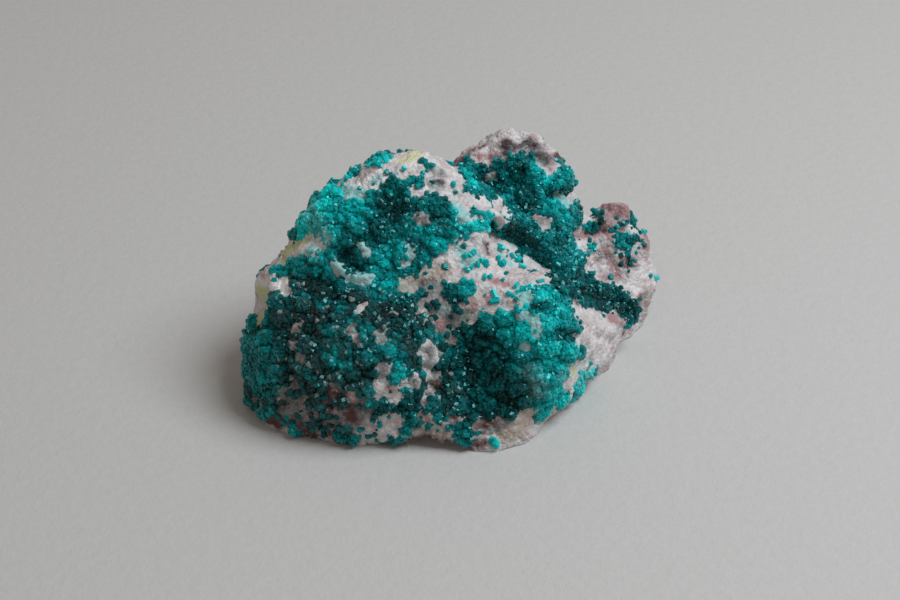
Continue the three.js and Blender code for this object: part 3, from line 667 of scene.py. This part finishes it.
# ---- Meshes ----


def add_mesh(name, points, faces):
    """A mesh object from points in millimetres."""
    mesh = bpy.data.meshes.new(name)
    mesh.from_pydata((np.asarray(points) * MM).tolist(), [], faces)
    mesh.update()
    ob = bpy.data.objects.new(name, mesh)
    bpy.context.scene.collection.objects.link(ob)
    return ob


def set_attribute(ob, name, values):
    layer = ob.data.attributes.new(name, "FLOAT", "POINT")
    layer.data.foreach_set("value", np.asarray(values, np.float32))


def tree_of(objects):
    """A search tree over mesh objects, in millimetres."""
    points, faces = [], []
    for ob in objects:
        first = len(points)
        points += [v.co / MM for v in ob.data.vertices]
        faces += [[first + i for i in p.vertices] for p in ob.data.polygons]
    return BVHTree.FromPolygons(points, faces)


def smooth_net(points, edges, rounds, free):
    """Moves each point towards the middle of its neighbours, as far as free, from 0 to 1, lets it."""
    count = np.bincount(edges.ravel(), minlength=len(points)).reshape(-1, 1)
    for _ in range(rounds):
        total = np.zeros_like(points)
        for axis in range(3):
            total[:, axis] += np.bincount(edges[:, 0], points[edges[:, 1], axis], len(points))
            total[:, axis] += np.bincount(edges[:, 1], points[edges[:, 0], axis], len(points))
        points = points + (total / count - points) * (0.5 * free)[:, None]
    return points


def above_foot(points):
    """0 on the flat underside, 1 well above it."""
    return smooth_step(ROCK["foot"], ROCK["foot_fade"], points[:, 2])


def fine_rock():
    """The matrix, made anew in small faces and smoothed: points in millimetres, and faces."""
    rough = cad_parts["matrix"].copy()
    rough.data = rough.data.copy()
    bpy.context.scene.collection.objects.link(rough)
    remesh = rough.modifiers.new("cells", "REMESH")
    remesh.mode = "VOXEL"
    remesh.voxel_size = ROCK["cell"] * MM
    graph = bpy.context.evaluated_depsgraph_get()
    mesh = bpy.data.meshes.new_from_object(rough.evaluated_get(graph))
    bpy.data.objects.remove(rough)

    points = np.empty(len(mesh.vertices) * 3)
    mesh.vertices.foreach_get("co", points)
    points = points.reshape(-1, 3) / MM
    edges = np.empty(len(mesh.edges) * 2, np.int64)
    mesh.edges.foreach_get("vertices", edges)
    faces = [list(p.vertices) for p in mesh.polygons]
    bpy.data.meshes.remove(mesh)
    return smooth_net(points, edges.reshape(-1, 2), ROCK["smooth_rounds"], above_foot(points)), faces


def normals_of(points, faces):
    ob = add_mesh("scratch", points, faces)
    normals = np.empty(len(points) * 3)
    ob.data.vertices.foreach_get("normal", normals)
    mesh = ob.data
    bpy.data.objects.remove(ob)
    bpy.data.meshes.remove(mesh)
    return normals.reshape(-1, 3)


# ---- Shader sums ----


class Value:
    """A number or colour somewhere in a finish's nodes. Sums with it add Math nodes."""

    def __init__(self, finish, socket):
        self.finish = finish
        self.socket = socket

    def sum(self, operation, first, second):
        return self.finish.node("ShaderNodeMath", {"operation": operation}, {0: first, 1: second})

    def __add__(self, other):
        return self.sum("ADD", self, other)

    def __sub__(self, other):
        return self.sum("SUBTRACT", self, other)

    def __mul__(self, other):
        return self.sum("MULTIPLY", self, other)

    def __rsub__(self, other):
        return self.sum("SUBTRACT", other, self)

    __radd__ = __add__
    __rmul__ = __mul__

    def clamped(self):
        return self.finish.node("ShaderNodeClamp", {}, {"Value": self})

    def above(self, low, high):
        """0 below low, 1 above high, smooth between them."""
        settings = {"interpolation_type": "SMOOTHSTEP"}
        ends = {"Value": self, "From Min": low, "From Max": high}
        return self.finish.node("ShaderNodeMapRange", settings, ends)


class Finish:
    """A material, and what its nodes are made with."""

    def __init__(self, name):
        self.material = bpy.data.materials.new(name)
        self.material.use_nodes = True
        self.tree = self.material.node_tree
        self.shader = self.tree.nodes["Principled BSDF"]

    def node(self, kind, settings, inputs, output=0):
        """Adds a node: its settings first, then the values or links of its sockets."""
        made = self.tree.nodes.new(kind)
        for key, value in settings.items():
            if key == "stops":
                self.set_stops(made.color_ramp, value)
            else:
                setattr(made, key, value)
        for key, value in inputs.items():
            self.feed(made.inputs[key], value)
        return Value(self, made.outputs[output])

    def set_stops(self, ramp, stops):
        while len(ramp.elements) < len(stops):
            ramp.elements.new(1)
        for element, (position, colour) in zip(ramp.elements, stops):
            element.position = position
            element.color = (*colour, 1)

    def feed(self, socket, value):
        if isinstance(value, Value):
            self.tree.links.new(value.socket, socket)
        elif socket.type == "RGBA":
            socket.default_value = (*value, 1)
        else:
            socket.default_value = value

    def set(self, **sockets):
        """Sets the shader's own sockets, named with _ for a space."""
        for name, value in sockets.items():
            self.feed(self.shader.inputs[name.replace("_", " ")], value)

    def where(self):
        return self.node("ShaderNodeTexCoord", {}, {}, "Object")

    def attribute(self, name):
        return self.node("ShaderNodeAttribute", {"attribute_name": name}, {}, "Fac")

    def noise(self, size, detail=2, roughness=0.5):
        """Noise from 0 to 1, with lumps of that size in millimetres."""
        inputs = {"Vector": self.where(), "Scale": 1 / (size * MM), "Detail": detail, "Roughness": roughness}
        return self.node("ShaderNodeTexNoise", {}, inputs)

    def grains(self, size, output):
        """Grains of that size in millimetres. Their Distance is 0 in the middle of each grain and larger
        towards its edge, their Color a shade from 0 to 1 for each."""
        inputs = {"Vector": self.where(), "Scale": 1 / (size * MM)}
        return self.node("ShaderNodeTexVoronoi", {}, inputs, output)

    def mix(self, share, first, second):
        return self.node("ShaderNodeMix", {"data_type": "RGBA"}, {0: share, 6: first, 7: second}, 2)

    def ramp(self, value, stops):
        return self.node("ShaderNodeValToRGB", {"stops": stops}, {"Fac": value})

    def bump(self, height, depth):
        return self.node("ShaderNodeBump", {}, {"Height": height, "Distance": depth * MM})


# ---- Finishes ----

CRYSTAL_COLOURS = (
    (0.0, (0.0, 0.022, 0.024)),
    (0.3, (0.0, 0.125, 0.135)),
    (0.6, (0.0, 0.37, 0.39)),
    (0.85, (0.0, 0.64, 0.65)),
    (1.0, (0.0, 0.96, 0.93)),
)
FROST_AND_GLINT = (0.40, 0.50, 0.52)
SOIL_AND_SHADE = (0.045, 0.038, 0.038)
CRYSTAL_LOOK = {
    "cloud": 0.6,  # size of the clouds in them, in millimetres
    "cloud_tone": 0.2,
    "rough": 0.15,
    "cloud_rough": 0.2,
    "ior": 1.66,
    "specular": 0.2,
    "tint": (0.35, 1.0, 1.0),
    "clear": 0.42,
}

CLEAN_ROCK = {"pale": (0.66, 0.64, 0.65), "shade": (0.52, 0.485, 0.495), "blush": (0.52, 0.40, 0.40)}
ROCK_LOOK = {
    "coarse": {"size": 3.2, "detail": 4, "roughness": 0.6},
    "fine": {"size": 0.7, "detail": 3, "roughness": 0.6},
    "crumb": 0.6,  # size of its sugary crumbs, in millimetres
    "patches": (0.4, 0.25, 0.35),  # shares of fine, coarse and crumb in its patches
    "pale": (0.3, 0.65),  # where the patches lie between these, its shade gives way to pale rock
    "pale_grain": 0.4,
    "blush": (0.58, 0.7),  # and between these, that gives way to blush
    "blush_grain": 0.5,
    "stain_patchy": 2.6,  # how much the stains follow the patches, and how much they lack all over
    "stain_gaps": 0.2,
    "wash": 0.35,
    "bed": (0.35, 0.65),  # between these the bed covers it
    "bed_ragged": 0.6,
    "bed_darker": 0.16,  # the bed is so much darker than the crystals on it
    "sugar": (0.5, 0.8, 0.5),  # heights of the crumbs, of the dips between them and of the fine patches
    "sugar_high": 0.2,
    "rough": 0.4,
    "crumb_rough": 0.4,
}
# the stains' colours, each laid over the ones before it
STAIN_COLOURS = {
    "tan": (0.36, 0.30, 0.25),
    "white": (0.86, 0.84, 0.84),
    "soil": (0.14, 0.11, 0.108),
    "rose": (0.36, 0.20, 0.21),
    "grey": (0.20, 0.19, 0.195),
    "yellow": (0.62, 0.65, 0.36),
    "iron": (0.085, 0.03, 0.028),
    "purple": (0.075, 0.045, 0.057),
    "teal": (0.25, 0.54, 0.55),
}
WASH_COLOUR = (0.30, 0.55, 0.52)

FLOOR_COLOURS = ((0.47, 0.47, 0.465), (0.53, 0.53, 0.525))
FLOOR_LOOK = {"cloth": {"size": 2.0, "detail": 5, "roughness": 0.7}, "cloth_high": 0.2, "rough": 0.8}


def rock_finish():
    finish = Finish("rock")
    look = ROCK_LOOK
    coarse = finish.noise(**look["coarse"])
    fine = finish.noise(**look["fine"])
    grain = finish.attribute("grain")
    crumb = finish.grains(look["crumb"], "Color")
    of_fine, of_coarse, of_crumb = look["patches"]
    patchy = fine * of_fine + coarse * of_coarse + crumb * of_crumb
    pale = (patchy + grain * look["pale_grain"]).above(*look["pale"])
    blush = (patchy - grain * look["blush_grain"]).above(*look["blush"])
    colour = finish.mix(pale, CLEAN_ROCK["shade"], CLEAN_ROCK["pale"])
    colour = finish.mix(blush, colour, CLEAN_ROCK["blush"])
    # some stains paint light and shade in places: white ones light shaded faces, soil and iron ones darken
    # shade
    for name, stain in STAIN_COLOURS.items():
        share = finish.attribute(name) * (patchy * look["stain_patchy"] + grain - look["stain_gaps"])
        colour = finish.mix(share.clamped(), colour, stain)
    colour = finish.mix(finish.attribute("wash") * look["wash"], colour, WASH_COLOUR)
    bed = (finish.attribute("bed") + (fine - 0.5) * look["bed_ragged"]).above(*look["bed"])
    # the bed takes the crystals' tone, painted light and shade included
    ground = finish.ramp((finish.attribute("tone") - look["bed_darker"]).clamped(), CRYSTAL_COLOURS)
    crumbs_high, dips_deep, fine_high = look["sugar"]
    sugar = crumb * crumbs_high - finish.grains(look["crumb"], "Distance") * dips_deep + fine * fine_high
    finish.set(
        Base_Color=finish.mix(bed, colour, ground),
        Roughness=look["rough"] + crumb * look["crumb_rough"],
        Normal=finish.bump(sugar, look["sugar_high"]),
    )
    return finish.material


def crystal_finish():
    finish = Finish("dioptase")
    look = CRYSTAL_LOOK
    cloud = finish.noise(look["cloud"])
    # the tone holds painted light and shade as well as the crystals' own lightness
    tone = finish.attribute("tone") + (cloud - 0.5) * look["cloud_tone"]
    dust = finish.attribute("dust")
    # below 0 the mark paints dirt and, in places, shade; above 0 frost and, in places, glints
    colour = finish.mix((dust * -1.0).clamped(), finish.ramp(tone.clamped(), CRYSTAL_COLOURS), SOIL_AND_SHADE)
    finish.set(
        Base_Color=finish.mix(dust.clamped(), colour, FROST_AND_GLINT),
        Roughness=look["rough"] + cloud * look["cloud_rough"],
        IOR=look["ior"],
        Specular_IOR_Level=look["specular"],
        Specular_Tint=look["tint"],
        Transmission_Weight=look["clear"],
    )
    return finish.material


def floor_finish():
    finish = Finish("floor")
    look = FLOOR_LOOK
    cloth = finish.noise(**look["cloth"])
    finish.set(
        Base_Color=finish.mix(cloth, *FLOOR_COLOURS),
        Roughness=look["rough"],
        Normal=finish.bump(cloth, look["cloth_high"]),
    )
    return finish.material


# ---- Where the crystals grow ----


def seen_cover(sight):
    """The places that the camera sees: those under crystals, those of bare rock, and among those the bare
    spots' own."""
    points, places = sight.everything()
    green = np.ones(len(points), bool)
    for outlines, state in ((BARE_GROUND, False), (GREEN_PATCHES, True), (BARE_SPOTS, False)):
        for outline in outlines.values():
            green[within(points, outline)] = state
    for outline in SPRINKLED.values():
        mixed = within(points, outline)
        green[mixed] &= lumpy(places[mixed], COVER["sprinkle"], NOISE["sprinkle"]) > 0
    spots = np.zeros(len(points), bool)
    for outline in BARE_SPOTS.values():
        spots |= within(points, outline)
    return places[green], places[~green], places[spots]


def hidden_cover(points, crusts):
    """How far inside the crystals each point would lie if the camera saw none of them."""
    cover = np.array([COVER["reach"] - crusts.find_nearest(p)[3] for p in points])
    cover += COVER["ragged"] * lumpy(points, COVER["patch_size"], NOISE["ragged"])
    patches = lumpy(points, COVER["patch_size"], NOISE["patches"]) - COVER["patches_above"]
    return np.maximum(cover, COVER["patch"] * patches)


def cover_of(points, sight, crusts):
    """At each point, how far inside the crystals it lies, in millimetres, and from 0 to 1 how near it is to
    a bare spot, and how well the camera sees it."""
    green, bare, spots = seen_cover(sight)
    to_green = distances(points, green)
    to_bare = distances(points, bare)
    seen = 1 - smooth_step(*COVER["hidden"], np.minimum(to_green, to_bare))
    outlined = np.clip((to_bare - to_green) / 2, -COVER["deepest"], COVER["deepest"])
    near_spots = 1 - smooth_step(*COVER["spot_edge"], distances(points, spots))
    hidden = hidden_cover(points, crusts)
    cover = seen * (outlined - COVER["room"]) + (1 - seen) * hidden - COVER["spot_room"] * near_spots
    more = COVER["wander_hidden"] - COVER["wander_calmer"] * seen
    for number, size in enumerate(COVER["lumps"]):
        cover += COVER["wander"] * lumpy(points, size, NOISE["edges"] + number) * more
    return cover, near_spots, seen


# ---- The rock ----


def turned(points, axis, spin):
    """Points turned about Z, then with Z laid along an axis."""
    upright = Vector((0, 0, 1)).rotation_difference(Vector(axis))
    turn = upright.to_matrix() @ Matrix.Rotation(spin, 3, "Z")
    return points @ np.array(turn).T


def leaning(normal, rng, lean):
    return (Vector(normal) + Vector([rng.uniform(-1, 1) * lean for _ in range(3)])).normalized()


def tones_and_painted_light_at(points, sight):
    """How light the crystals are at each point, from 0 to 1, with light and shade painted in."""
    drift = TONE["drift"] * lumpy(points, TONE["drift_size"], NOISE["tone"])
    # painted shade: the crystals in the clefts between clumps are darker
    tones_and_painted_light = TONE["usual"] + drift - CLUMPS["shade"] * (1 - clumps_of(points))
    # light and shade painted along lines, with the crystals' own lighter and darker stretches
    for more, edge, lines in TONES_AND_PAINTED_LIGHT.values():
        tones_and_painted_light += more * sight.along(lines, points, *edge)
    return tones_and_painted_light


def rock_shape(points, normals, bed, spots, sight):
    """Where the rock's points end up, and how light each one's grain is."""
    clumps = CLUMPS["height"] * (clumps_of(points) - CLUMPS["level"])
    rise = bed * (ROCK["bed_rise"] + clumps) + spots * ROCK["spot_rise"]
    for line, radius, height in RELIEF:
        rise += height * sight.along([(line, radius)], points, -radius, ROCK["relief_edge"] * radius)
    for number, (height, size) in enumerate(ROCK_LUMPS):
        rise += height * lumpy(points, size, NOISE["rock"] + number)
    rough = 1 - ROCK["calcite_smooth"] * sight.along(CALCITE, points, *ROCK["calcite_edge"])
    shades = np.zeros(len(points))
    for height, size in ROCK_GRAINS:
        heights, shade = grainy(points, size)
        rise += height * heights * rough
        shades += GRAIN["shade"] * shade * rough
    ground = points + normals * (rise * above_foot(points))[:, None]
    for line, radius, shift in DRAWN_IN:
        ground += sight.along([(line, radius)], points, -radius, radius)[:, None] * np.array(shift)
    return ground, shades


def stains_at(points, seen, sight):
    """How strong each stain is at each point: along its lines, and in blots on the hidden sides."""
    stains = {}
    for number, (name, lines) in enumerate(STAINS.items()):
        size, least = SPREAD[name]
        blots = lumpy(points, size, NOISE["stains"] + number)
        blots += STAIN["fine_share"] * lumpy(points, size / STAIN["finer"], NOISE["fine stains"] + number)
        hidden = smooth_step(least, least + STAIN["fade"], blots) * (1 - seen)
        stains[name] = np.maximum(sight.along(lines, points, *STAIN["edge"]), hidden)
    return stains


def wash_at(points, cover):
    """How much of the green wash lies on the rock near the crystals."""
    blots = smooth_step(*WASH["blot_edge"], lumpy(points, WASH["blots"], NOISE["wash"]))
    return smooth_step(*WASH["near"], cover) * blots


def make_rock(points, faces, normals, cover, spots, seen, sight):
    bed = smooth_step(-ROCK["bed_edge"], ROCK["bed_edge"], cover)
    ground, shades = rock_shape(points, normals, bed, spots, sight)
    # the bed's tone holds painted light and shade
    looks = {"bed": bed, "grain": shades, "tone": tones_and_painted_light_at(points, sight)}
    looks.update(stains_at(points, seen, sight))
    looks["wash"] = wash_at(points, cover) * (1 - looks["iron"])
    rock = add_mesh("rock", ground, faces)
    rock.data.polygons.foreach_set("use_smooth", [True] * len(faces))
    rock.data.materials.append(rock_finish())
    for name, values in looks.items():
        set_attribute(rock, name, values)
    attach(rock, "root")
    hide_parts("matrix")
    return ground


# ---- The crystals ----


def crystal_shape():
    """A six-sided prism of radius 1 and height 1, closed by three slanting faces: points and faces.
    The fourth number of a point says how far it lies below the tip, for a tip of height 1."""
    points = []
    for side in range(6):
        turn = math.radians(60 * side)
        points.append((math.cos(turn), math.sin(turn), 0, 0))
    for side in range(6):
        turn = math.radians(60 * side)
        points.append((math.cos(turn), math.sin(turn), 1, -0.5 if side % 2 else -1))
    points.append((0, 0, 1, 0))
    faces = [[5, 4, 3, 2, 1, 0]]
    faces += [[side, (side + 1) % 6, 6 + (side + 1) % 6, 6 + side] for side in range(6)]
    faces += [[12, 6 + (side - 1) % 6, 6 + side, 6 + (side + 1) % 6] for side in (0, 2, 4)]
    return np.array(points), faces


class Seeds:
    """Places on the ground where something may grow, in a mixed order."""

    def __init__(self, points, faces, count, start):
        rng = np.random.default_rng(start)
        corners = points[np.array(faces)]
        first = np.cross(corners[:, 1] - corners[:, 0], corners[:, 2] - corners[:, 0])
        second = np.cross(corners[:, 2] - corners[:, 0], corners[:, 3] - corners[:, 0])
        area = np.linalg.norm(first + second, axis=1)
        pick = rng.choice(len(faces), count, p=area / area.sum())
        share = rng.random((count, 2, 1))
        low = corners[pick, 0] * (1 - share[:, 0]) + corners[pick, 1] * share[:, 0]
        high = corners[pick, 3] * (1 - share[:, 0]) + corners[pick, 2] * share[:, 0]
        self.places = low * (1 - share[:, 1]) + high * share[:, 1]
        self.normals = (first + second)[pick] / area[pick][:, None]
        self.knots = np.array(faces)[pick, 0]


class Spacer:
    """Keeps things apart: a place is free when all that is taken lies beyond both reaches."""

    def __init__(self, cell):
        self.cell = cell
        self.taken = {}

    def take(self, place, reach):
        i0, j0, k0 = (int(math.floor(v / self.cell)) for v in place)
        near = [(i0 + i, j0 + j, k0 + k) for i in (-1, 0, 1) for j in (-1, 0, 1) for k in (-1, 0, 1)]
        for x, y, z, other in (entry for key in near for entry in self.taken.get(key, ())):
            if (place[0] - x) ** 2 + (place[1] - y) ** 2 + (place[2] - z) ** 2 < (reach + other) ** 2:
                return False
        self.taken.setdefault((i0, j0, k0), []).append((*place, reach))
        return True


def crystal_mesh(name, crystals, finish):
    """Joined crystals. Each is a place, an axis, a spin, a radius, a length, a tone that holds painted light
    and shade, and a mark: above 0 for frost and painted glints, below 0 for dirt and painted shade."""
    shape, shape_faces = crystal_shape()
    points, faces, tones_and_painted_light, dusts_and_painted_light = [], [], [], []
    for place, axis, spin, radius, length, tone, dust in crystals:
        height = shape[:, 2] * length + shape[:, 3] * radius * CRYSTAL["tip"] - CRYSTAL["root"]
        local = np.column_stack((shape[:, 0] * radius, shape[:, 1] * radius, height))
        faces += [[len(points) * len(shape) + i for i in face] for face in shape_faces]
        points.append(turned(local, axis, spin) + place)
        tones_and_painted_light += [tone] * len(shape)
        dusts_and_painted_light += [dust] * len(shape)
    ob = add_mesh(name, np.concatenate(points), faces)
    set_attribute(ob, "tone", tones_and_painted_light)
    set_attribute(ob, "dust", dusts_and_painted_light)
    ob.data.materials.append(finish)
    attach(ob, "root")
    return ob


def sizes_at(places, sight):
    """How large the crystals are at each place, from 0 for the least radius to 1 for the largest."""
    drift = lumpy(places, CRYSTAL_SIZES["drift_size"], NOISE["size"])
    sizes = CRYSTAL_SIZES["usual"] + CRYSTAL_SIZES["drift"] * drift
    return sizes - CRYSTAL_SIZES["fine"] * sight.along(FINE, places, *CRYSTAL["line_edge"])


def dust_and_painted_light_at(places, sight):
    """How frosty, or below 0 how dirty, the crystals are at each place, with painted glints and shade."""
    frosted_and_glinting = sight.along(FROSTED_AND_GLINTING, places, *CRYSTAL["line_edge"])
    blots = smooth_step(*SOILED_AND_SHADED["blot_edge"], lumpy(places, SOILED_AND_SHADED["blots"], NOISE["soil"]))
    soiled_and_shaded = sight.along(DUSTY_AND_SHADED, places, *SOILED_AND_SHADED["edge"]) * blots
    return DUST_AND_GLINTS["frost_and_glints"] * frosted_and_glinting - SOILED_AND_SHADED["dulling"] * soiled_and_shaded


def sown(ground, faces, cover, rng):
    """Places and normals where crystals may grow: all of the covered ground, and a few just beyond."""
    seeds = Seeds(ground, faces, CRYSTAL["tries"], DRAWS["places"])
    depth = cover[seeds.knots]
    chance = np.array([rng.random() for _ in depth])
    grows = chance < np.where(depth > 0, 1, CRYSTAL["edge_share"] * np.exp(depth / CRYSTAL["edge"]))
    grows &= seeds.places[:, 2] > CRYSTAL["lowest"]
    return seeds.places[grows], seeds.normals[grows]


def grow_crystals(sight, ground, faces, cover, crust_names):
    """The crystals of each crust, and those scattered farther off."""
    rng = random.Random(DRAWS["crystals"])
    spacer = Spacer(2 * CRYSTAL["radius"][1])
    crusts = {name: tree_of([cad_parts[name]]) for name in crust_names}
    groups = {name: [] for name in crust_names + ["scattered"]}
    least, largest = CRYSTAL["radius"]
    places, normals = sown(ground, faces, cover, rng)
    # the tones hold painted light and shade; the marks painted shade below 0 and painted glints above 0
    tones_and_painted_light = tones_and_painted_light_at(places, sight)
    sizes = sizes_at(places, sight)
    dusts_and_painted_light = dust_and_painted_light_at(places, sight)
    speckled_and_glinting = CRYSTAL["speckles_and_glints"] * sight.along(SPECKLED_AND_GLINTING, places, *CRYSTAL["line_edge"])

    for place, normal, tone, size, dull, speckle_and_glint in zip(places, normals, tones_and_painted_light, sizes, dusts_and_painted_light, speckled_and_glinting):
        own_size = size + rng.uniform(-CRYSTAL_SIZES["own"], CRYSTAL_SIZES["own"])
        radius = least + (largest - least) * min(max(own_size, 0), 1)
        if not spacer.take(place, radius * CRYSTAL["spacing"]):
            continue
        length = CRYSTAL["root"] + radius * rng.uniform(*CRYSTAL["length"])
        axis = leaning(normal, rng, CRYSTAL["lean"])
        dust = DUST_AND_GLINTS["speckle_and_glint"] if rng.random() < speckle_and_glint else dull
        spin = rng.uniform(0, math.pi)
        own_tone = tone + rng.uniform(-TONE["own"], TONE["own"])
        gap, near = min((crusts[name].find_nearest(place)[3], name) for name in crust_names)
        group = groups[near if gap < CRYSTAL["far"] else "scattered"]
        group.append((place, axis, spin, radius, length, own_tone, dust))
    return groups


def lone_crystals(sight, ground, faces):
    rng = random.Random(DRAWS["lone crystals"])
    tree = BVHTree.FromPolygons([Vector(p) for p in ground], faces)
    crystals = []
    for x, y in LONE:
        place, normal, _, _ = tree.find_nearest(sight.place(x, y))
        radius = rng.uniform(*LONE_CRYSTAL["radius"])
        length = CRYSTAL["root"] + radius * rng.uniform(*LONE_CRYSTAL["length"])
        axis = leaning(normal, rng, LONE_CRYSTAL["lean"])
        spin = rng.uniform(0, math.pi)
        tone = rng.uniform(*LONE_CRYSTAL["tone"])
        crystals.append((np.array(place), axis, spin, radius, length, tone, 0))
    return crystals


def make_crystals(sight, ground, faces, cover, crust_names):
    groups = grow_crystals(sight, ground, faces, cover, crust_names)
    groups["scattered"] += lone_crystals(sight, ground, faces)
    finish = crystal_finish()
    for name, crystals in groups.items():
        piece = crystal_mesh(name + "_crystals", crystals, finish)
        if name in crust_names:
            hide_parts(name)


# ---- Floor and light ----


def make_floor():
    side = FLOOR_SIDE / 2
    corners = [(-side, -side, 0), (side, -side, 0), (side, side, 0), (-side, side, 0)]
    floor = add_mesh("floor", corners, [[0, 1, 2, 3]])
    floor.data.materials.append(floor_finish())


def make_window():
    """A large round soft light, high on the right."""
    data = bpy.data.lights.new("window", "AREA")
    data.shape = "DISK"
    data.size = WINDOW["size"] * MM
    data.energy = WINDOW["power"]
    data.color = WINDOW["colour"]
    lamp = bpy.data.objects.new("window", data)
    bpy.context.scene.collection.objects.link(lamp)
    place = Vector(WINDOW["place"])
    lamp.location = place * MM
    lamp.rotation_euler = (Vector(AIM) - place).to_track_quat("-Z", "Y").to_euler()


def make_sky():
    world = bpy.data.worlds.new("studio")
    bpy.context.scene.world = world
    world.use_nodes = True
    background = world.node_tree.nodes["Background"]
    background.inputs["Color"].default_value = SKY["colour"]
    background.inputs["Strength"].default_value = SKY["strength"]
    bpy.context.scene.view_settings.view_transform = "Standard"


# ---- The specimen ----


def make_specimen(camera):
    crust_names = sorted(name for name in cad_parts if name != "matrix")
    points, faces = fine_rock()
    normals = normals_of(points, faces)
    lifted = [Vector(p) for p in points + normals * COVER["lift"]]
    sight = Sight(camera, BVHTree.FromPolygons(lifted, faces))
    crusts = tree_of([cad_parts[name] for name in crust_names])
    cover, spots, seen = cover_of(points, sight, crusts)
    ground = make_rock(points, faces, normals, cover, spots, seen, sight)
    make_crystals(sight, ground, faces, cover, crust_names)


make_specimen(make_camera())
make_floor()
make_sky()
make_window()
